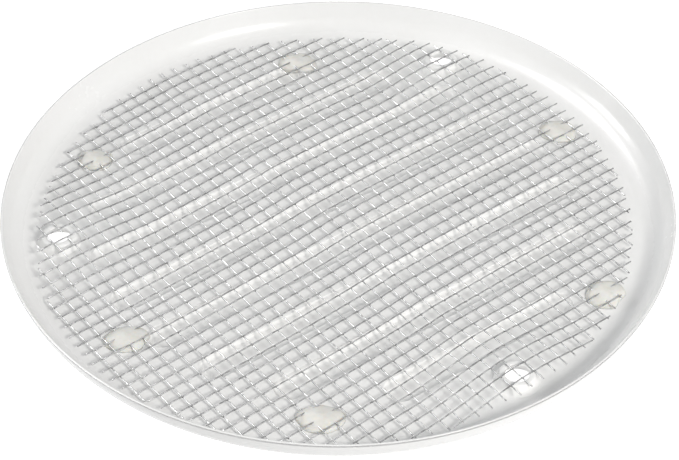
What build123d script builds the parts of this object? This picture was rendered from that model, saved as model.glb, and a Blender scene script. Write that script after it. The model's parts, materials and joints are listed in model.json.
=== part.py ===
"""Round drying tray: a shallow moulded pan with a wire screen glued inside it.

Millimetres, +Z up.  The origin is the centre of the circle that the tray stands on,
so z = 0 is the underside of the eight channels and the tray's axis is the Z axis.
"""

import os
from math import cos, dist, radians, sin, sqrt, tan

from build123d import *

# Pan
RIM_RADIUS = 145.0          # outside of the lip
FLOOR_RADIUS = 131.0        # where the flat floor starts to curve up into the wall
FLOOR_THICKNESS = 1.8
CHANNEL_DEPTH = 3.0
INNER_DEPTH = 12.7          # floor to the top of the lip
COVE_RADIUS = 11.5          # inside curve between floor and wall
INNER_WALL_ANGLE = 66.0     # degrees above level, inside face
OUTER_WALL_ANGLE = 74.0     # degrees above level, outside face
LIP_FILLET = 0.4

FLOOR_UNDERSIDE = CHANNEL_DEPTH
FLOOR_TOP = FLOOR_UNDERSIDE + FLOOR_THICKNESS
LIP_TOP = FLOOR_TOP + INNER_DEPTH
LEVEL_TOLERANCE = 0.01

# Channels in the floor
CHANNEL_COUNT = 8
CHANNEL_PITCH = 27.6
CHANNEL_WIDTH = 13.5
CHANNEL_REACH = 108.0       # radius of the circle that the channel ends stop on
CHANNEL_ANGLE = 37.0        # degrees from +X
CHANNEL_DRAFT = 20.0        # degrees, lean of the channel walls
CHANNEL_EDGE_FILLET = 0.8   # rounding of the channels' rims where they meet the floor

# Cord holes, each through the top of a hollow boss
HOLE_COUNT = 3
HOLE_RADIUS = 5.0
HOLE_CIRCLE_RADIUS = 121.0
HOLE_START_ANGLE = 66.5     # degrees from +X
HOLE_CUT_HEIGHT = 4 * FLOOR_THICKNESS
BOSS_HEIGHT = 4.4           # floor to the top of the boss
BOSS_TOP_RADIUS = 7.4
BOSS_BASE_RADIUS = 9.6
BOSS_FILLET = 0.8
BOSS_TOP = FLOOR_TOP + BOSS_HEIGHT

# Wire screen
WIRE_DIAMETER = 0.7
WARP_COUNT = 41
WARP_PITCH = 6.25
WEFT_COUNT = 39
WEFT_PITCH = 6.6            # the cloth is pulled a little wider this way
SCREEN_RADIUS = 130.0
SCREEN_CENTRE = (0.0, -2.7)
SCREEN_ANGLE = 38.0         # degrees from +X, direction of the warp wires
SCREEN_LIFT = 1.5           # floor to the lowest wire
LAYER_GAP = 0.1             # between the two layers at a crossing
BOSS_CLEARANCE = 0.1        # boss to the lowest wire above it
LIFT_HEIGHT = BOSS_HEIGHT - SCREEN_LIFT + BOSS_CLEARANCE
LIFT_INNER = 9.0            # the screen is level out to here from a boss's centre
LIFT_OUTER = 42.0           # and down at its own level from here
WIRE_BEND_RADIUS = 8.0
STUB_LENGTH = 2.5           # a crossing nearer to a wire's end than this has no bend
STRAIGHTNESS = 0.02         # a point nearer to the line of its neighbours is left out

# Glue dabs: centre x, centre y, length, width, angle of the length from +X
GLUE_DABS = (
    (-19.0, 112.0, 19.0, 14.0, 10.0),
    (100.0, 61.0, 18.0, 15.0, -35.0),
    (112.0, -47.0, 18.0, 16.0, -60.0),
    (-7.0, -119.0, 21.0, 15.0, -5.0),
    (-87.0, -74.0, 19.0, 15.0, -20.0),
    (-109.0, 41.0, 17.0, 14.0, 40.0),
)
DAB_HEIGHT = 3.8
DAB_WIRE_CLEARANCE = 0.03


def polar(radius, angle):
    """Point at a radius and an angle in degrees round the tray's axis."""
    return (radius * cos(radians(angle)), radius * sin(radians(angle)))


def boss_centres():
    """Centres of the three bosses, spread evenly round the tray's axis."""
    step = 360.0 / HOLE_COUNT
    return [
        polar(HOLE_CIRCLE_RADIUS, HOLE_START_ANGLE + number * step)
        for number in range(HOLE_COUNT)
    ]


def wall_profile():
    """Half section of the pan: floor, cove, wall and lip, closed on the axis."""
    centre_z = FLOOR_TOP + COVE_RADIUS
    outer_radius = COVE_RADIUS + FLOOR_THICKNESS
    inner, outer = radians(INNER_WALL_ANGLE), radians(OUTER_WALL_ANGLE)

    def on_cove(radius, tilt):
        return (FLOOR_RADIUS + radius * sin(tilt), centre_z - radius * cos(tilt))

    inner_end = on_cove(COVE_RADIUS, inner)
    outer_end = on_cove(outer_radius, outer)
    outer_top = (RIM_RADIUS, outer_end[1] + (RIM_RADIUS - outer_end[0]) * tan(outer))
    inner_top = (inner_end[0] + (LIP_TOP - inner_end[1]) / tan(inner), LIP_TOP)
    lip_corner = (RIM_RADIUS, LIP_TOP)

    with BuildSketch(Plane.XZ) as section:
        with BuildLine():
            Line((0.0, FLOOR_TOP), (FLOOR_RADIUS, FLOOR_TOP))
            ThreePointArc(
                (FLOOR_RADIUS, FLOOR_TOP), on_cove(COVE_RADIUS, inner / 2), inner_end
            )
            Line(inner_end, inner_top)
            Line(inner_top, lip_corner)
            Line(lip_corner, outer_top)
            Line(outer_top, outer_end)
            ThreePointArc(
                outer_end,
                on_cove(outer_radius, outer / 2),
                (FLOOR_RADIUS, FLOOR_UNDERSIDE),
            )
            Line((FLOOR_RADIUS, FLOOR_UNDERSIDE), (0.0, FLOOR_UNDERSIDE))
            Line((0.0, FLOOR_UNDERSIDE), (0.0, FLOOR_TOP))
        make_face()
    return section.sketch


def channel_solid(width, length, top, depth):
    """Round-ended trough along X, wide at the top and narrower by the draft below."""
    with BuildPart() as trough:
        with BuildSketch(Plane.XY.offset(top)):
            SlotOverall(length, width)
        extrude(amount=-depth, taper=CHANNEL_DRAFT)
    return trough.part


def channels():
    """Lists of the troughs cut into the floor and of the ribs that they make below."""
    cuts, ribs = [], []
    for number in range(CHANNEL_COUNT):
        offset = (number - (CHANNEL_COUNT - 1) / 2) * CHANNEL_PITCH
        length = 2 * sqrt(CHANNEL_REACH**2 - offset**2)
        place = Rot(0, 0, CHANNEL_ANGLE) * Pos(0, offset, 0)
        shell = FLOOR_THICKNESS / cos(radians(CHANNEL_DRAFT)) * 2
        cuts.append(
            place * channel_solid(CHANNEL_WIDTH, length, FLOOR_TOP, CHANNEL_DEPTH)
        )
        ribs.append(
            place
            * channel_solid(
                CHANNEL_WIDTH + shell, length + shell, FLOOR_TOP, FLOOR_TOP
            )
        )
    return cuts, ribs


def boss_cone(base_z, top_z, shrink):
    """Cone of a boss between two heights, with its radii made smaller by a wall."""
    slope = (BOSS_BASE_RADIUS - BOSS_TOP_RADIUS) / BOSS_HEIGHT
    base = BOSS_BASE_RADIUS - (base_z - FLOOR_TOP) * slope - shrink
    top = BOSS_BASE_RADIUS - (top_z - FLOOR_TOP) * slope - shrink
    upright = (Align.CENTER, Align.CENTER, Align.MIN)
    return Pos(0, 0, base_z) * Cone(base, top, top_z - base_z, align=upright)


def boss():
    """Hollow boss as a solid to add and the hollow and hole to take away."""
    outer = boss_cone(FLOOR_UNDERSIDE, BOSS_TOP, 0.0)
    crown = outer.edges().sort_by(Axis.Z)[-1]
    outer = fillet(crown, BOSS_FILLET)
    hollow = boss_cone(FLOOR_UNDERSIDE, BOSS_TOP - FLOOR_THICKNESS, FLOOR_THICKNESS)
    hole = Pos(0, 0, BOSS_TOP) * Cylinder(HOLE_RADIUS, HOLE_CUT_HEIGHT)
    return outer, [hollow, hole]


def tray():
    """Pan with its lip rounded, the channels formed in and the holed bosses raised."""
    pan = revolve(wall_profile(), axis=Axis.Z)
    lip = [
        edge
        for edge in pan.edges().filter_by(GeomType.CIRCLE)
        if edge.center().Z > LIP_TOP - LEVEL_TOLERANCE
    ]
    pan = fillet(lip, LIP_FILLET)

    cuts, ribs = channels()
    pan = pan + ribs
    pan = pan - cuts
    # The longest edge level with the floor is the start of the cove; the others are
    # the channels' rims.
    level = pan.edges().filter_by_position(
        Axis.Z, FLOOR_TOP - LEVEL_TOLERANCE, FLOOR_TOP + LEVEL_TOLERANCE
    )
    channel_rims = level.sort_by(SortBy.LENGTH)[:-1]
    pan = fillet(channel_rims, CHANNEL_EDGE_FILLET)

    raised, removed = boss()
    places = [Pos(*centre) for centre in boss_centres()]
    pan = pan + [place * raised for place in places]
    return pan - [place * cut for place in places for cut in removed]


def offsets(count, pitch):
    """Distances of a layer's wires from the middle of the screen."""
    return [(number - (count - 1) / 2) * pitch for number in range(count)]


def lift(x, y):
    """Rise of the screen over the bosses: level near a boss, then an S-shaped fall."""
    nearest = min(dist((x, y), centre) for centre in boss_centres())
    share = (LIFT_OUTER - nearest) / (LIFT_OUTER - LIFT_INNER)
    share = min(max(share, 0.0), 1.0)
    return LIFT_HEIGHT * (3 * share**2 - 2 * share**3)


def straight_wire(angle, offset, height, diameter):
    """Straight wire across the screen, cut to the screen's circle."""
    length = 2 * sqrt(SCREEN_RADIUS**2 - offset**2)
    place = Pos(*SCREEN_CENTRE, height) * Rot(0, 0, angle) * Pos(0, offset, 0)
    return place * Rot(0, 90, 0) * Cylinder(diameter / 2, length)


def wire_points(angle, offset, height, crossings):
    """Ends and bends of a wire: it bends only where it crosses the other layer."""
    half = sqrt(SCREEN_RADIUS**2 - offset**2)
    along = [t for t in crossings if abs(t) < half - STUB_LENGTH]
    points = []
    for t in [-half, *along, half]:
        x = SCREEN_CENTRE[0] + t * cos(radians(angle)) - offset * sin(radians(angle))
        y = SCREEN_CENTRE[1] + t * sin(radians(angle)) + offset * cos(radians(angle))
        points.append(Vector(x, y, height + lift(x, y)))

    kept = points[:1]
    for point, following in zip(points[1:-1], points[2:]):
        chord = (following - kept[-1]).normalized()
        reach = point - kept[-1]
        if (reach - chord * reach.dot(chord)).length > STRAIGHTNESS:
            kept.append(point)
    return kept + points[-1:]


def draped_wire(points):
    """Wire along its bends, over the bosses that it passes."""
    path = FilletPolyline(*points, radius=WIRE_BEND_RADIUS)
    section = Plane(origin=path @ 0, z_dir=path % 0) * Circle(WIRE_DIAMETER / 2)
    return sweep(section, path=path)


def write_layer(name, angle, height, own_offsets, crossings):
    """One layer of the screen: its straight wires and those that climb over bosses."""
    straight, draped = [], []
    for offset in own_offsets:
        points = wire_points(angle, offset, height, crossings)
        if len(points) == 2:
            straight.append(straight_wire(angle, offset, height, WIRE_DIAMETER))
        else:
            draped.append(draped_wire(points))
    write(name, Compound(straight))
    write(f"{name}_over_bosses", Compound(draped))


def glue_dab(x, y, length, width, angle, wires):
    """Low dome of set glue on the floor, with the wires running through it."""
    # A cap cut from a ball of this radius has the dab's height over a circle of
    # the dab's length; it is then squeezed to the dab's width.
    half = length / 2
    ball_radius = (half**2 + DAB_HEIGHT**2) / (2 * DAB_HEIGHT)
    ball = Pos(0, 0, DAB_HEIGHT - ball_radius) * Sphere(ball_radius)
    keep = Pos(0, 0, DAB_HEIGHT) * Box(2 * length, 2 * length, 2 * DAB_HEIGHT)
    dome = scale(ball & keep, (1.0, width / length, 1.0))
    dome = Pos(x, y, FLOOR_TOP) * Rot(0, 0, angle) * dome
    near = [
        wire
        for wire in wires
        if wire.distance_to(Vertex(x, y, FLOOR_TOP)) < length
    ]
    return dome - near


def write(name, shape):
    """Writes one node's STEP file and prints what it holds."""
    export_step(shape, f"parts/{name}.step")
    print(name, len(shape.solids()), "solids", round(shape.volume, 1), "mm3")


def main():
    os.makedirs("parts", exist_ok=True)
    write("tray", tray())

    weft_height = FLOOR_TOP + SCREEN_LIFT + WIRE_DIAMETER / 2
    warp_height = weft_height + WIRE_DIAMETER + LAYER_GAP
    weft_angle = SCREEN_ANGLE + 90.0
    warp = offsets(WARP_COUNT, WARP_PITCH)
    weft = offsets(WEFT_COUNT, WEFT_PITCH)
    # A weft wire at offset w crosses a warp wire at -w along the warp wire.
    write_layer("warp_wires", SCREEN_ANGLE, warp_height, warp, weft)
    write_layer("weft_wires", weft_angle, weft_height, weft, warp)

    # The dabs are clear of the bosses, so the wires through them are straight.
    fat = WIRE_DIAMETER + 2 * DAB_WIRE_CLEARANCE
    embedded = [straight_wire(SCREEN_ANGLE, w, warp_height, fat) for w in warp]
    embedded += [straight_wire(weft_angle, w, weft_height, fat) for w in weft]
    for number, dab in enumerate(GLUE_DABS, start=1):
        write(f"glue_dab_{number}", glue_dab(*dab, embedded))


main()
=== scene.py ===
# %% [markdown]
# # A drying tray with a wire screen
#
# This lesson dresses one small object: a shallow, round, white plastic tray whose floor
# has eight closed channels and three hollow bosses, with a disc of galvanised wire mesh
# lying in it, held down by six dabs of hot-melt glue.  The engineering model is loaded
# first as a fixed frame, and every piece made here goes where that frame says.

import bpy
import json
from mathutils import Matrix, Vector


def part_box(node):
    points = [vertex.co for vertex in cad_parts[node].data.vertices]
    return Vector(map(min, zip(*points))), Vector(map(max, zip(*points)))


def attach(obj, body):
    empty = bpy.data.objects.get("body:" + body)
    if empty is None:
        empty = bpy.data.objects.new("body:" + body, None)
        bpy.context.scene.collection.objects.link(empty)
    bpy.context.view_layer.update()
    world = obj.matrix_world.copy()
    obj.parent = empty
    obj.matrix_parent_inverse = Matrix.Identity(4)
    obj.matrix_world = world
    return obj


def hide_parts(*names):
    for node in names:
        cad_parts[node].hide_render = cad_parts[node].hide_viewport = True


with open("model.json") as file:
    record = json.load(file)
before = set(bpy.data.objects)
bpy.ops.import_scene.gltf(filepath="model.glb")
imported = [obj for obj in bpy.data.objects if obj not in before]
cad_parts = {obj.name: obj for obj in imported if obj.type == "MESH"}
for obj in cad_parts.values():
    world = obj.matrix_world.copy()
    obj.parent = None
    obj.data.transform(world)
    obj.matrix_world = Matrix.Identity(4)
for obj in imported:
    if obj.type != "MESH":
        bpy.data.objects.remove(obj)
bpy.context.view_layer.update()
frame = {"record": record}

# %% Libraries and units
import json
from math import cos, pi, radians, sin, tan

import bmesh
import bpy
import numpy as np
from mathutils import Vector
from mathutils.geometry import delaunay_2d_cdt

MM = 0.001
random = np.random.default_rng(7)

# %% [markdown]
# ## The camera comes first
#
# A long lens from about a metre away keeps the far rim nearly as wide as the near one.
# The camera stands in front of the tray, looks down at the middle of its floor, and has
# a very small shift that centres the tray in the picture.

# %% Camera
FLOOR_TOP = 4.8 * MM
CAMERA_ELEVATION = radians(41.4)
CAMERA_DISTANCE = 0.9872
CAMERA_LENS = 120.25
CAMERA_SENSOR = 36.0
CAMERA_SHIFT = (0.0019, -0.0133)


def add_camera():
    """A camera aimed at the middle of the tray's floor from the front and above."""
    aim = Vector((0.0, 0.0, FLOOR_TOP))
    direction = Vector((0.0, -cos(CAMERA_ELEVATION), sin(CAMERA_ELEVATION)))
    data = bpy.data.cameras.new("camera")
    data.lens = CAMERA_LENS
    data.sensor_width = CAMERA_SENSOR
    data.shift_x, data.shift_y = CAMERA_SHIFT
    camera = bpy.data.objects.new("camera", data)
    camera.location = aim + direction * CAMERA_DISTANCE
    camera.rotation_euler = (-direction).to_track_quat("-Z", "Y").to_euler()
    bpy.context.scene.collection.objects.link(camera)
    bpy.context.scene.camera = camera
    print("camera at", [round(c, 3) for c in camera.location])


add_camera()

# %% [markdown]
# ## Helpers for making surfaces
#
# Every shape below is a stack of closed rings worked out as one numpy array.  Joining
# each ring to the next gives four-sided faces, and no loop visits single points.  Pieces
# of one shell are put together, their shared edges are merged, and then the normals of
# the closed shell are turned outwards once.

# %% Rings to faces
def loft(rings):
    """Points and faces of closed rings, an array of (rings, points in a ring, 3).

    Face (i, j) joins points j and j + 1 of ring i to the same points of ring i + 1.
    """
    count, around = rings.shape[:2]
    index = np.arange(count * around).reshape(count, around)
    following = np.roll(index, -1, axis=1)
    faces = np.stack([index[:-1], following[:-1], following[1:], index[1:]], axis=-1)
    return rings.reshape(-1, 3), faces.reshape(-1, 4).tolist()


def disc(ring, first_index):
    """One flat face that closes a ring whose points start at first_index."""
    return [list(range(first_index, first_index + len(ring)))]


def join(parts):
    """One list of points and faces out of several, with the indices moved along."""
    points, faces, start = [], [], 0
    for part_points, part_faces in parts:
        points.append(part_points)
        faces += [[start + i for i in face] for face in part_faces]
        start += len(part_points)
    return np.concatenate(points), faces


# %% Faces to a piece
MERGE_DISTANCE = 0.004 * MM


def add_piece(name, points, faces, material, slot, nodes):
    """A smooth-shaded piece that rides on the tray's body and stands for CAD nodes."""
    mesh = bpy.data.meshes.new(name)
    mesh.from_pydata(points.tolist(), [], faces)
    work = bmesh.new()
    work.from_mesh(mesh)
    bmesh.ops.remove_doubles(work, verts=work.verts, dist=MERGE_DISTANCE)
    bmesh.ops.recalc_face_normals(work, faces=work.faces)
    open_edges = sum(1 for edge in work.edges if not edge.is_manifold)
    work.to_mesh(mesh)
    work.free()
    print(name, "open edges:", open_edges)
    mesh.validate()
    mesh.shade_smooth()
    piece = bpy.data.objects.new(name, mesh)
    bpy.context.scene.collection.objects.link(piece)
    mesh.materials.append(material)
    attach(piece, "root")
    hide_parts(*nodes)
    size = [round(d / MM, 1) for d in piece.dimensions]
    print(name, len(mesh.polygons), "faces,", size, "mm")


# %% [markdown]
# ## Finishes
#
# Nothing on this object has one flat colour.  The white plastic has a faint orange-peel
# skin from the mould, a little less gloss on the floor than on the wall, and light
# handling marks.  Galvanised wire is mottled by zinc crystals.  Hot-melt glue is cloudy.
# Speckle and skin are used by more than one finish, so they are node groups that give
# out only masks and normals, and each material keeps its own shader.

# %% Node helpers
def new_group(name, inputs, outputs):
    """A shader node group with float inputs {name: default} and outputs {name: type}."""
    group = bpy.data.node_groups.new(name, "ShaderNodeTree")
    for socket, default in inputs.items():
        item = group.interface.new_socket(socket, in_out="INPUT", socket_type="NodeSocketFloat")
        item.default_value = default
    for socket, kind in outputs.items():
        group.interface.new_socket(socket, in_out="OUTPUT", socket_type=kind)
    return group, group.nodes.new("NodeGroupInput"), group.nodes.new("NodeGroupOutput")


def noise_on_object(tree, detail):
    """A noise texture that reads object coordinates, with its scale socket free."""
    place = tree.nodes.new("ShaderNodeTexCoord")
    noise = tree.nodes.new("ShaderNodeTexNoise")
    noise.inputs["Detail"].default_value = detail
    tree.links.new(place.outputs["Object"], noise.inputs["Vector"])
    return noise


def remap(tree, source, low, high):
    """Turns a 0.3 to 0.7 noise value into low to high."""
    node = tree.nodes.new("ShaderNodeMapRange")
    node.inputs["From Min"].default_value = 0.3
    node.inputs["From Max"].default_value = 0.7
    node.inputs["To Min"].default_value = low
    node.inputs["To Max"].default_value = high
    tree.links.new(source, node.inputs["Value"])
    return node.outputs["Result"]


# %% Shared effects
def make_cloud_group():
    """Mask of soft clouds from 0 to 1: broad noise with finer noise added to it."""
    group, given, result = new_group(
        "cloud_mask", {"Scale": 30.0, "Fine Scale": 300.0}, {"Mask": "NodeSocketFloat"}
    )
    broad = noise_on_object(group, 2.0)
    fine = noise_on_object(group, 3.0)
    group.links.new(given.outputs["Scale"], broad.inputs["Scale"])
    group.links.new(given.outputs["Fine Scale"], fine.inputs["Scale"])
    mix = group.nodes.new("ShaderNodeMix")
    mix.inputs["Factor"].default_value = 0.35
    group.links.new(broad.outputs["Fac"], mix.inputs["A"])
    group.links.new(fine.outputs["Fac"], mix.inputs["B"])
    group.links.new(remap(group, mix.outputs["Result"], 0.0, 1.0), result.inputs["Mask"])
    return group


def make_skin_group():
    """Normal of a finely pebbled skin: a bump node on noise of the given scale."""
    group, given, result = new_group(
        "pebbled_skin",
        {"Scale": 900.0, "Strength": 0.1, "Depth": 0.00005},
        {"Normal": "NodeSocketVector"},
    )
    noise = noise_on_object(group, 2.0)
    bump = group.nodes.new("ShaderNodeBump")
    group.links.new(given.outputs["Scale"], noise.inputs["Scale"])
    group.links.new(given.outputs["Strength"], bump.inputs["Strength"])
    group.links.new(given.outputs["Depth"], bump.inputs["Distance"])
    group.links.new(noise.outputs["Fac"], bump.inputs["Height"])
    group.links.new(bump.outputs["Normal"], result.inputs["Normal"])
    return group


CLOUD = make_cloud_group()
SKIN = make_skin_group()
print("shared effects:", CLOUD.name, SKIN.name)


# %% Material helpers
def new_material(name):
    """A material's tree with its Principled shader."""
    material = bpy.data.materials.new(name)
    material.use_nodes = True
    return material, material.node_tree, material.node_tree.nodes["Principled BSDF"]


def use_group(tree, group, **values):
    """Places a shared effect; Fine_Scale=2 sets its socket named Fine Scale."""
    node = tree.nodes.new("ShaderNodeGroup")
    node.node_tree = group
    for socket, value in values.items():
        node.inputs[socket.replace("_", " ")].default_value = value
    return node


def blend_colours(tree, mask, low, high):
    """Colour that goes from low to high with a mask."""
    mix = tree.nodes.new("ShaderNodeMix")
    mix.data_type = "RGBA"
    mix.inputs["A"].default_value = (*low, 1.0)
    mix.inputs["B"].default_value = (*high, 1.0)
    tree.links.new(mask, mix.inputs["Factor"])
    return mix.outputs["Result"]


def blend_values(tree, mask, low, high):
    """Value that goes from low to high with a mask."""
    node = tree.nodes.new("ShaderNodeMapRange")
    node.inputs["To Min"].default_value = low
    node.inputs["To Max"].default_value = high
    tree.links.new(mask, node.inputs["Value"])
    return node.outputs["Result"]


# %% [markdown]
# ### White moulded plastic
#
# The tray's floor was moulded against a matt face and its wall against a polished one,
# so the roughness follows the distance from the tray's axis.  That distance is the
# length of the object coordinate with its height taken out.

# %% White plastic
WALL_START = 131.0 * MM


def wall_mask(tree):
    """0 on the floor and 1 on the wall, changing over a few millimetres at the cove."""
    place = tree.nodes.new("ShaderNodeTexCoord")
    flat = tree.nodes.new("ShaderNodeVectorMath")
    flat.operation = "MULTIPLY"
    flat.inputs[1].default_value = (1.0, 1.0, 0.0)
    reach = tree.nodes.new("ShaderNodeVectorMath")
    reach.operation = "LENGTH"
    node = tree.nodes.new("ShaderNodeMapRange")
    node.inputs["From Min"].default_value = WALL_START - 2 * MM
    node.inputs["From Max"].default_value = WALL_START + 6 * MM
    tree.links.new(place.outputs["Object"], flat.inputs[0])
    tree.links.new(flat.outputs["Vector"], reach.inputs[0])
    tree.links.new(reach.outputs["Value"], node.inputs["Value"])
    return node.outputs["Result"]


def make_white_plastic():
    material, tree, shader = new_material("white_plastic")
    cloud = use_group(tree, CLOUD, Scale=22.0, Fine_Scale=420.0)
    colour = blend_colours(
        tree, cloud.outputs["Mask"], (0.870, 0.866, 0.850), (0.895, 0.893, 0.882)
    )
    wall = wall_mask(tree)
    floor_gloss = blend_values(tree, cloud.outputs["Mask"], 0.48, 0.58)
    wall_gloss = blend_values(tree, cloud.outputs["Mask"], 0.20, 0.28)
    gloss = tree.nodes.new("ShaderNodeMix")
    tree.links.new(wall, gloss.inputs["Factor"])
    tree.links.new(floor_gloss, gloss.inputs["A"])
    tree.links.new(wall_gloss, gloss.inputs["B"])
    skin = use_group(tree, SKIN, Scale=650.0, Strength=0.12, Depth=0.00008)
    tree.links.new(colour, shader.inputs["Base Color"])
    tree.links.new(gloss.outputs["Result"], shader.inputs["Roughness"])
    tree.links.new(skin.outputs["Normal"], shader.inputs["Normal"])
    shader.inputs["IOR"].default_value = 1.49
    return material


# %% [markdown]
# ### Galvanised wire
#
# Zinc is a soft grey metal.  Its crystals, a millimetre or so across, each reflect a
# little differently, which a cell texture gives, and the dipping leaves it slightly rough.

# %% Galvanised wire
def make_galvanised_wire():
    material, tree, shader = new_material("galvanised_wire")
    place = tree.nodes.new("ShaderNodeTexCoord")
    spangle = tree.nodes.new("ShaderNodeTexVoronoi")
    spangle.inputs["Scale"].default_value = 700.0
    cell = tree.nodes.new("ShaderNodeSeparateColor")
    tree.links.new(place.outputs["Object"], spangle.inputs["Vector"])
    tree.links.new(spangle.outputs["Color"], cell.inputs["Color"])
    grey = blend_colours(tree, cell.outputs["Red"], (0.28, 0.28, 0.28), (0.58, 0.58, 0.58))
    tree.links.new(grey, shader.inputs["Base Color"])
    rough = blend_values(tree, cell.outputs["Green"], 0.32, 0.55)
    tree.links.new(rough, shader.inputs["Roughness"])
    skin = use_group(tree, SKIN, Scale=2500.0, Strength=0.3, Depth=0.00003)
    tree.links.new(skin.outputs["Normal"], shader.inputs["Normal"])
    shader.inputs["Metallic"].default_value = 0.9
    return material


# %% [markdown]
# ### Set hot-melt glue
#
# The glue is cream, cloudy where it cooled with air in it, and a little duller than the
# plastic round it.  Some of the light goes into it and spreads before it comes out.

# %% Glue
def make_set_glue():
    material, tree, shader = new_material("set_glue")
    cloud = use_group(tree, CLOUD, Scale=160.0, Fine_Scale=900.0)
    colour = blend_colours(tree, cloud.outputs["Mask"], (0.69, 0.68, 0.64), (0.77, 0.762, 0.72))
    tree.links.new(colour, shader.inputs["Base Color"])
    rough = blend_values(tree, cloud.outputs["Mask"], 0.50, 0.66)
    tree.links.new(rough, shader.inputs["Roughness"])
    skin = use_group(tree, SKIN, Scale=240.0, Strength=0.2, Depth=0.0003)
    tree.links.new(skin.outputs["Normal"], shader.inputs["Normal"])
    shader.inputs["Subsurface Weight"].default_value = 0.35
    shader.inputs["Subsurface Radius"].default_value = (0.004, 0.003, 0.002)
    shader.inputs["Subsurface Scale"].default_value = 0.5
    shader.inputs["IOR"].default_value = 1.47
    return material


WHITE_PLASTIC = make_white_plastic()
GALVANISED_WIRE = make_galvanised_wire()
SET_GLUE = make_set_glue()
print("finishes:", WHITE_PLASTIC.name, GALVANISED_WIRE.name, SET_GLUE.name)

# %% [markdown]
# ## The tray
#
# The tray is one thin moulding.  It could be a grid pushed up and down, but then every
# rim would be a staircase.  Instead each feature is its own stack of rings: the wall
# turns round the tray's axis, a channel's section runs round a long outline with
# half-round ends, and a boss turns round its own centre.  The flat floor between them
# is filled with triangles afterwards.  Each stack starts with a narrow flat collar, so
# the smooth shading of its curve ends there and the floor stays perfectly flat.

# %% Sizes of the tray
tray_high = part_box("tray")[1]
RIM_RADIUS = tray_high.x
LIP_TOP = tray_high.z
THICKNESS = 1.8 * MM
FLOOR_UNDERSIDE = FLOOR_TOP - THICKNESS
COVE_RADIUS = 11.5 * MM
INNER_WALL = radians(66.0)
OUTER_WALL = radians(74.0)
LIP_RADIUS = 0.42 * MM
LIP_LEAN = 0.3
SKIRT_BEND = 0.6 * MM
SKIRT_STEP = 0.05 * MM
AROUND = 300
print("rim", RIM_RADIUS / MM, "mm, lip top", LIP_TOP / MM, "mm")


# %% Wall
def turn(profile, around, centre=(0.0, 0.0)):
    """Rings of a profile of (radius, height) rows turned round an upright axis."""
    angle = np.linspace(0.0, 2 * pi, around, endpoint=False)
    radius, height = profile[:, 0, None], profile[:, 1, None]
    x = centre[0] + radius * np.cos(angle)
    y = centre[1] + radius * np.sin(angle)
    return np.stack([x, y, np.broadcast_to(height, x.shape)], axis=-1)


def arc(centre, radius, start, end, count):
    """Rows of (radius, height) on an arc; the angles are measured from straight down."""
    angle = np.linspace(start, end, count)
    return np.stack(
        [centre[0] + radius * np.sin(angle), centre[1] - radius * np.cos(angle)], axis=1
    )


def wall_profile():
    """Floor edge, inside cove, wall, rounded lip, outside wall, outside cove."""
    middle = (WALL_START, FLOOR_TOP + COVE_RADIUS)
    inside = arc(middle, COVE_RADIUS, 0.0, INNER_WALL, 15)
    outside = arc(middle, COVE_RADIUS + THICKNESS, OUTER_WALL, 0.0, 15)
    lip_level = LIP_TOP - LIP_RADIUS
    inner_top = inside[-1, 0] + (lip_level - inside[-1, 1]) / tan(INNER_WALL)
    lip = np.concatenate([
        arc((inner_top + LIP_RADIUS, lip_level), LIP_RADIUS, -pi / 2 - LIP_LEAN, -pi, 5),
        arc((RIM_RADIUS - LIP_RADIUS, lip_level), LIP_RADIUS, pi, pi / 2, 5),
    ])
    skirt_top = outside[0, 1] + (RIM_RADIUS - outside[0, 0]) * tan(OUTER_WALL)
    skirt = np.array([
        [RIM_RADIUS, skirt_top + SKIRT_BEND],
        [RIM_RADIUS - SKIRT_STEP, skirt_top - SKIRT_BEND],
    ])
    return np.concatenate([inside, lip, skirt, outside])


wall_rings = turn(wall_profile(), AROUND)
wall = loft(wall_rings)
print("wall rings", len(wall_rings))

# %% [markdown]
# ### Channels
#
# Across a channel, the height follows a power curve: nearly flat in the middle and steep
# at the sides.  Taking the smooth minimum of that curve and the floor rounds the rim.
# The same outline, a wall's thickness wider, makes the rib on the underside.

# %% Channel sections
CHANNEL_COUNT = 8
CHANNEL_PITCH = 27.6 * MM
CHANNEL_HALF_WIDTH = 6.75 * MM
CHANNEL_DEPTH = 3.0 * MM
CHANNEL_REACH = 108.0 * MM
CHANNEL_ANGLE = radians(37.0)
CHANNEL_POWER = 6.0
RIB_HALF_WIDTH = CHANNEL_HALF_WIDTH + 0.9 * THICKNESS
CAP_POINTS = 19
RIM_SOFTNESS = 0.35 * MM
SECTION_STEPS = np.array([
    1.22, 1.14, 1.09, 1.05, 1.02, 1.0, 0.97, 0.94, 0.9,
    0.84, 0.76, 0.66, 0.54, 0.4, 0.25, 0.1, 0.03,
])


def section(half_width, depth):
    """Rows of (distance from the middle line, height, which is 0 at the rim)."""
    curve = depth * (SECTION_STEPS**CHANNEL_POWER - 1.0)
    drop = 0.5 * (curve - np.sqrt(curve**2 + RIM_SOFTNESS**2))
    drop[0] = 0.0
    collar = SECTION_STEPS * half_width
    return np.stack([collar, drop], axis=1)


def slot_rings(profile, half_spine, across, level):
    """Rings of a section carried round a slot's outline, turned to the channels' angle."""
    cap = np.linspace(-pi / 2, pi / 2, CAP_POINTS)
    angle = np.concatenate([cap, cap + pi])
    end = np.repeat([half_spine, -half_spine], CAP_POINTS)
    along = end + profile[:, 0, None] * np.cos(angle)
    side = across + profile[:, 0, None] * np.sin(angle)
    height = np.broadcast_to(level + profile[:, 1, None], along.shape)
    turned = (cos(CHANNEL_ANGLE), sin(CHANNEL_ANGLE))
    x = along * turned[0] - side * turned[1]
    y = along * turned[1] + side * turned[0]
    return np.stack([x, y, height], axis=-1)


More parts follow.
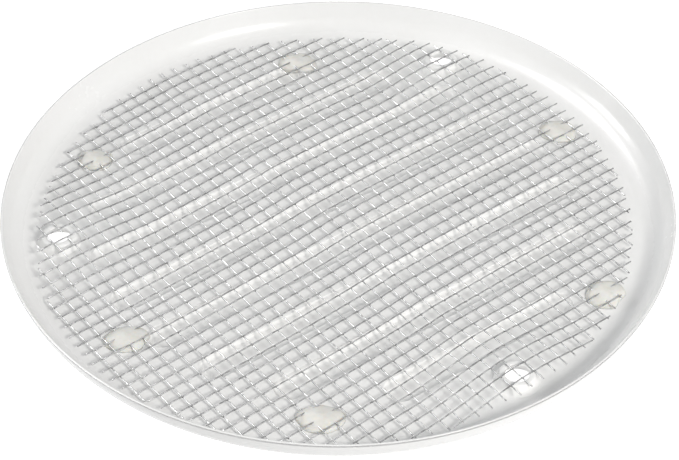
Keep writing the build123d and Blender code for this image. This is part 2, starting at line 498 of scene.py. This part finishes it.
def channel_lines():
    """(half length of the middle line, distance from the tray's middle) of each channel."""
    across = (np.arange(CHANNEL_COUNT) - (CHANNEL_COUNT - 1) / 2) * CHANNEL_PITCH
    return [(np.sqrt(CHANNEL_REACH**2 - a**2) - CHANNEL_HALF_WIDTH, a) for a in across]


def channel_stacks(half_width, depth, level):
    """Stacks of rings of all the channels, on one side of the moulding."""
    profile = section(half_width, depth)
    return [slot_rings(profile, half, across, level) for half, across in channel_lines()]


upper_channels = channel_stacks(CHANNEL_HALF_WIDTH, CHANNEL_DEPTH, FLOOR_TOP)
lower_ribs = channel_stacks(RIB_HALF_WIDTH, FLOOR_UNDERSIDE, FLOOR_UNDERSIDE)
lowest_rib = min(rings[..., 2].min() for rings in lower_ribs)
print("channels", len(upper_channels), "lowest", round(lowest_rib / MM, 2), "mm")

# %% [markdown]
# ### Bosses
#
# Three low hollow cones with a hole in the top stand evenly round the tray.  Their
# profile runs from the floor up the cone, over the rounded crown, down through the hole
# and back down the inside of the cone to the underside.

# %% Boss profile
cord_holes = next(m for m in frame["record"]["mounts"] if m["name"] == "cord_holes")
HOLE_CIRCLE = cord_holes["dims"]["pcd_mm"] * MM / 2
HOLE_RADIUS = cord_holes["dims"]["hole_r_mm"] * MM
BOSS_START = radians(66.5)
BOSS_HEIGHT = cord_holes["pos_m"][2] - FLOOR_TOP
BOSS_TOP_RADIUS = 7.4 * MM
BOSS_BASE_RADIUS = 9.6 * MM
BOSS_COLLAR = 0.35 * MM
BOSS_AROUND = 64


def boss_profile():
    """Rows of (radius, height) from the floor over the crown and back to the underside.

    Each row is a corner of the section, moved by a small step in millimetres, so the
    rows beside a corner round it off.
    """
    base, top, hole = BOSS_BASE_RADIUS, BOSS_TOP_RADIUS, HOLE_RADIUS
    high = FLOOR_TOP + BOSS_HEIGHT
    under = high - THICKNESS
    inner_top = top + THICKNESS * (base - top) / BOSS_HEIGHT - 0.9 * THICKNESS
    rows = np.array([
        (base + BOSS_COLLAR, FLOOR_TOP, 0.0, 0.0),
        (base, FLOOR_TOP, 0.15, 0.02),
        (base, FLOOR_TOP, -0.1, 0.12),
        (base, FLOOR_TOP, -0.35, 0.5),
        (top, high, 0.45, -1.1),
        (top, high, 0.22, -0.6),
        (top, high, -0.1, -0.22),
        (top, high, -0.5, -0.04),
        (top, high, -0.8, 0.0),
        (hole, high, 0.5, 0.0),
        (hole, high, 0.22, -0.05),
        (hole, high, 0.06, -0.18),
        (hole, high, 0.0, -0.4),
        (hole, under, 0.0, 0.2),
        (hole, under, 0.1, 0.0),
        (inner_top, under, 0.0, 0.0),
        (inner_top, under, 0.1, -0.1),
        (base, FLOOR_UNDERSIDE, -1.3, 0.1),
        (base, FLOOR_UNDERSIDE, -1.2, 0.0),
        (base + BOSS_COLLAR, FLOOR_UNDERSIDE, 0.0, 0.0),
    ])
    return rows[:, :2] + rows[:, 2:] * MM


def boss_centres():
    """Centres of the bosses, an array of (x, y) rows."""
    angle = BOSS_START + np.arange(3) * 2 * pi / 3
    return HOLE_CIRCLE * np.stack([np.cos(angle), np.sin(angle)], axis=1)


BOSSES = boss_centres()
boss_stacks = [turn(boss_profile(), BOSS_AROUND, centre) for centre in BOSSES]
print("boss centres, mm", np.round(BOSSES / MM, 1).tolist())

# %% [markdown]
# ### The flat floor
#
# A constrained triangulation fills the space between the outlines.  It also fills the
# outlines themselves, so triangles whose middle lies in a channel or a boss are dropped.
# The test for that stops just short of each outline, whose straight chords lie inside it.

# %% Fill between outlines
CHANNEL_EDGE = 0.999
BOSS_EDGE = 0.998


def in_slot(x, y, half_spine, across, reach):
    """True where a point is nearer than reach to a channel's middle line."""
    along = x * cos(CHANNEL_ANGLE) + y * sin(CHANNEL_ANGLE)
    side = y * cos(CHANNEL_ANGLE) - x * sin(CHANNEL_ANGLE) - across
    beyond = np.maximum(np.abs(along) - half_spine, 0.0)
    return np.hypot(beyond, side) < reach


def flat_fill(outer, channels, bosses, channel_reach, level):
    """Triangles of a level sheet inside the outer ring and outside all the others."""
    rings = [outer] + [stack[0] for stack in channels] + bosses
    coords, edges = [], []
    for ring in rings:
        start = len(coords)
        coords += [Vector(p) for p in ring[:, :2].tolist()]
        edges += [(start + i, start + (i + 1) % len(ring)) for i in range(len(ring))]
    found, _, triangles, *_ = delaunay_2d_cdt(coords, edges, [], 1, 1e-9)
    flat = np.array([v[:] for v in found])
    triangles = np.array(triangles)
    x, y = flat[triangles].mean(axis=1).T
    drop = np.zeros(len(triangles), bool)
    for half_spine, across in channel_lines():
        drop |= in_slot(x, y, half_spine, across, channel_reach)
    boss_reach = BOSS_EDGE * (BOSS_BASE_RADIUS + BOSS_COLLAR)
    for centre in BOSSES:
        drop |= np.hypot(x - centre[0], y - centre[1]) < boss_reach
    points = np.column_stack([flat, np.full(len(flat), level)])
    return points, triangles[~drop].tolist()


floor = flat_fill(
    wall_rings[0], upper_channels, [s[0] for s in boss_stacks],
    SECTION_STEPS[0] * CHANNEL_HALF_WIDTH * CHANNEL_EDGE, FLOOR_TOP,
)
underside = flat_fill(
    wall_rings[-1], lower_ribs, [s[-1] for s in boss_stacks],
    SECTION_STEPS[0] * RIB_HALF_WIDTH * CHANNEL_EDGE, FLOOR_UNDERSIDE,
)
print("flat triangles", len(floor[1]), "above and", len(underside[1]), "below")


# %% Put the tray together
def capped(stack):
    """A channel's rings with its narrow last ring closed by one flat face."""
    points, faces = loft(stack)
    return points, faces + disc(stack[-1], len(points) - len(stack[-1]))


tray_parts = [wall, floor, underside]
tray_parts += [capped(stack) for stack in upper_channels + lower_ribs]
tray_parts += [loft(stack) for stack in boss_stacks]
add_piece("tray_shell", *join(tray_parts), WHITE_PLASTIC, "tray_plastic", ["tray"])

# %% [markdown]
# ## The wire screen
#
# The mesh is two families of wires: the warp wires lie on the weft wires and are fused
# to them where they cross.  A point of the mesh has flat coordinates (u along the warp
# wires, v along the weft).  Three things move it: the whole mesh is a little crooked, it
# climbs over the bosses, and it ripples.  Both families use the same crooked sheet, so
# they always meet.

# %% The sheet
WIRE_RADIUS = 0.31 * MM
SCREEN_ANGLE = radians(38.0)
SCREEN_RADIUS = 130.6 * MM
SCREEN_CENTRE = (-1.8 * MM, -2.9 * MM)
WARP_COUNT = 41
WARP_PITCH = 6.25 * MM
WEFT_COUNT = 39
WEFT_PITCH = 6.6 * MM
warp_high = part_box("warp_wires")[1]
weft_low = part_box("weft_wires")[0]
SHEET_DROP = 0.1 * MM
SHEET_LEVEL = (weft_low.z + warp_high.z) / 2 - SHEET_DROP
RIPPLE = 0.25 * MM
SAG = 4.4 * MM
SAG_FADE = 0.06
SAG_FADES = 2.0
WARP_WAVE = 0.35 * MM
WARP_SHIFT = 1.4 * MM
WEFT_WAVE = 0.30 * MM
WEFT_SHEAR = 0.008
LIFT_HEIGHT = 3.0 * MM
LIFT_INNER = 9.0 * MM
LIFT_OUTER = 46.0 * MM


def lift(x, y):
    """Rise of the sheet over the nearest boss: level near it, then an S-shaped fall."""
    away = np.min([np.hypot(x - c[0], y - c[1]) for c in BOSSES], axis=0)
    share = np.clip((LIFT_OUTER - away) / (LIFT_OUTER - LIFT_INNER), 0.0, 1.0)
    return LIFT_HEIGHT * (3 * share**2 - 2 * share**3)


def sheet_point(u, v):
    """Place of the mesh's flat point (u, v), as x, y and height arrays.

    The warp wires run off to one side towards their left ends, as an exponential
    approach that has gone SAG sideways after SAG_FADES lengths of SAG_FADE.  Slow sine
    waves keep the rest from being quite straight.
    """
    left = np.maximum(-u, 0.0)
    v = v - SAG * (1 - np.exp(-left / SAG_FADE)) / (1 - np.exp(-SAG_FADES))
    v = v + WARP_WAVE * np.sin(u / 0.031 + v / 0.07) + WARP_SHIFT
    u = u + WEFT_WAVE * np.sin(v / 0.027 + u / 0.09) + WEFT_SHEAR * v
    x = SCREEN_CENTRE[0] + u * cos(SCREEN_ANGLE) - v * sin(SCREEN_ANGLE)
    y = SCREEN_CENTRE[1] + u * sin(SCREEN_ANGLE) + v * cos(SCREEN_ANGLE)
    ripple = RIPPLE * (1 + np.sin(x / 0.019) * np.sin(y / 0.023 + 1.0))
    return x, y, SHEET_LEVEL + lift(x, y) + ripple


def wire_ends(offsets):
    """How far each wire reaches either way: to the cut edge, cut a little unevenly."""
    edge = np.sqrt(np.maximum(SCREEN_RADIUS**2 - offsets**2, 0.0))
    return edge + random.uniform(-1.0, 0.6, (2, len(offsets))) * MM


# %% Wires as tubes
WIRE_STEP = 0.30 * MM
KINK = 0.10 * MM
SAMPLES = 250
SIDES = 6


def tubes(paths, radius):
    """Points and faces of round tubes along paths, an array of (wires, samples, 3).

    Each ring lies across the path: one of its axes is level and the other is upright.
    """
    along = np.gradient(paths, axis=1)
    along /= np.linalg.norm(along, axis=2, keepdims=True)
    level = np.cross(along, [0.0, 0.0, 1.0])
    level /= np.linalg.norm(level, axis=2, keepdims=True)
    upright = np.cross(level, along)
    angle = np.linspace(0.0, 2 * pi, SIDES, endpoint=False)[:, None]
    ring = level[:, :, None] * np.cos(angle) + upright[:, :, None] * np.sin(angle)
    points = paths[:, :, None] + radius * ring
    return join([capped_tube(wire) for wire in points])


def capped_tube(rings):
    """One tube's points and faces with a flat face on each end."""
    points, faces = loft(rings)
    return points, faces + disc(rings[0], 0) + disc(rings[-1], len(points) - SIDES)


def family(count, pitch, crossing_pitch, side, warp):
    """Paths of one family of wires, above (side 1) or below (side -1) the sheet.

    Where a wire is fused to a crossing one it is drawn towards it by a small kink, a
    raised cosine to the fourth power of the place along the wire.
    """
    offsets = (np.arange(count) - (count - 1) // 2) * pitch
    back, forth = wire_ends(offsets)
    share = np.linspace(0.0, 1.0, SAMPLES)
    along = -back[:, None] + (back + forth)[:, None] * share
    across = np.broadcast_to(offsets[:, None], along.shape)
    x, y, z = sheet_point(along, across) if warp else sheet_point(across, along)
    kink = KINK * np.cos(pi * along / crossing_pitch) ** 4
    return np.stack([x, y, z + side * (WIRE_STEP - kink)], axis=-1)


warp_paths = family(WARP_COUNT, WARP_PITCH, WEFT_PITCH, 1.0, True)
weft_paths = family(WEFT_COUNT, WEFT_PITCH, WARP_PITCH, -1.0, False)
lowest_wire = min(warp_paths[..., 2].min(), weft_paths[..., 2].min())
print("lowest wire centre", round(lowest_wire / MM, 2), "mm")

# %% Warp and weft
warp_nodes = ["warp_wires", "warp_wires_over_bosses"]
weft_nodes = ["weft_wires", "weft_wires_over_bosses"]
warp_tubes = tubes(warp_paths, WIRE_RADIUS)
weft_tubes = tubes(weft_paths, WIRE_RADIUS)
add_piece("mesh_warp", *warp_tubes, GALVANISED_WIRE, "galvanised_wire", warp_nodes)
add_piece("mesh_weft", *weft_tubes, GALVANISED_WIRE, "galvanised_wire", weft_nodes)

# %% [markdown]
# ## The glue dabs
#
# A dab of hot glue spreads, wets the wires and sets with an uneven edge and a lumpy
# top.  Its outline is an ellipse whose radius has a few waves of random size, its height
# falls from a flattish top to the floor, and low waves make it lumpy.

# %% Glue dabs
DAB_RINGS = 16
DAB_AROUND = 60
DAB_SINK = 0.15 * MM
DAB_FULLNESS = 0.92
LUMP_SIZE = 0.16


def dab_rings(low, high):
    """Rings from just inside the floor to near the top of one dab, in its frame box.

    At share s of the way out, the height is the dab's height times (1 - s**2)**0.55,
    so the top is broad, and the lumps are sine waves that die away at the edge.
    """
    middle, half = (low + high) / 2, (high - low) / 2
    angle = np.linspace(0.0, 2 * pi, DAB_AROUND, endpoint=False)
    waves = np.arange(2, 7)[:, None]
    size = random.uniform(0.04, 0.16, (5, 1)) / waves
    phase = random.uniform(0.0, 2 * pi, (5, 1))
    outline = 1.0 + (size * np.sin(waves * angle + phase)).sum(axis=0)
    share = np.linspace(1.0, 0.04, DAB_RINGS)[:, None]
    x = middle.x + half.x * outline * share * np.cos(angle)
    y = middle.y + half.y * outline * share * np.sin(angle)
    lump = LUMP_SIZE * np.sin(x / 0.0021 + phase[0]) * np.sin(y / 0.0025 + phase[1])
    height = (1.0 - share**2) ** 0.55 * (DAB_FULLNESS + lump * (1.0 - share))
    z = low.z - DAB_SINK + (high.z - low.z + DAB_SINK) * np.minimum(height, 1.0)
    return np.stack([x, y, z], axis=-1)


for number in range(1, 7):
    node = f"glue_dab_{number}"
    rings = dab_rings(*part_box(node))
    points, faces = loft(rings)
    faces += disc(rings[-1], len(points) - DAB_AROUND) + disc(rings[0], 0)
    add_piece(f"glue_{number}", points, faces, SET_GLUE, "set_glue", [node])

# %% [markdown]
# ## Floor and light
#
# The tray stands on a plain white floor that glows a little, so it stays white even
# under the tray and through its holes.  The floor throws no light on the tray; a dimmer
# sheet just under it does that, so the tray's outside wall does not glow.  A soft lamp
# at the front right shades the channels' near sides, a low one at the left lights the
# right wall, and a third puts only gleams on the wires.  The pale world fills the rest.

# %% Stage
STAGE_REACH = 6.0


def add_stage(name, level, white, glow):
    """A wide level sheet with a base grey and a glow of its own."""
    far = STAGE_REACH
    corners = [(-far, -far, level), (far, -far, level), (far, far, level), (-far, far, level)]
    mesh = bpy.data.meshes.new(name)
    mesh.from_pydata(corners, [], [(0, 1, 2, 3)])
    sheet = bpy.data.objects.new(name, mesh)
    bpy.context.scene.collection.objects.link(sheet)
    material, tree, shader = new_material(name)
    shader.inputs["Base Color"].default_value = (white, white, white, 1.0)
    shader.inputs["Roughness"].default_value = 0.9
    shader.inputs["Emission Color"].default_value = (1.0, 1.0, 1.0, 1.0)
    shader.inputs["Emission Strength"].default_value = glow
    mesh.materials.append(material)
    return sheet


studio_floor = add_stage("studio_floor", 0.0, 0.9, 0.65)
studio_floor.visible_diffuse = False
floor_bounce = add_stage("floor_bounce", -1.0 * MM, 0.2, 0.5)
floor_bounce.visible_camera = False


# %% Lamps and world
LAMP_DISTANCE = 1.8


def add_lamp(name, azimuth, elevation, size, power, colour=(1.0, 1.0, 1.0)):
    """A square soft lamp at a bearing and height angle, aimed at the tray's middle."""
    data = bpy.data.lights.new(name, "AREA")
    data.size = size
    data.energy = power
    data.color = colour
    lamp = bpy.data.objects.new(name, data)
    a, e = radians(azimuth), radians(elevation)
    direction = Vector((cos(e) * cos(a), cos(e) * sin(a), sin(e)))
    lamp.location = direction * LAMP_DISTANCE
    lamp.rotation_euler = (-direction).to_track_quat("-Z", "Y").to_euler()
    bpy.context.scene.collection.objects.link(lamp)
    return lamp


def add_world(colour, strength):
    """An even pale sky."""
    world = bpy.data.worlds.new("studio")
    world.use_nodes = True
    background = world.node_tree.nodes["Background"]
    background.inputs["Color"].default_value = (*colour, 1.0)
    background.inputs["Strength"].default_value = strength
    bpy.context.scene.world = world


add_lamp("key", -53.0, 38.0, 0.4, 20.0, (1.0, 0.985, 0.965))
add_lamp("low_left", 165.0, 16.0, 0.6, 12.0)
gleam = add_lamp("gleam", 150.0, 50.0, 0.7, 30.0)
gleam.visible_diffuse = False
add_world((0.965, 0.98, 1.0), 0.50)
bpy.context.scene.view_settings.view_transform = "Standard"
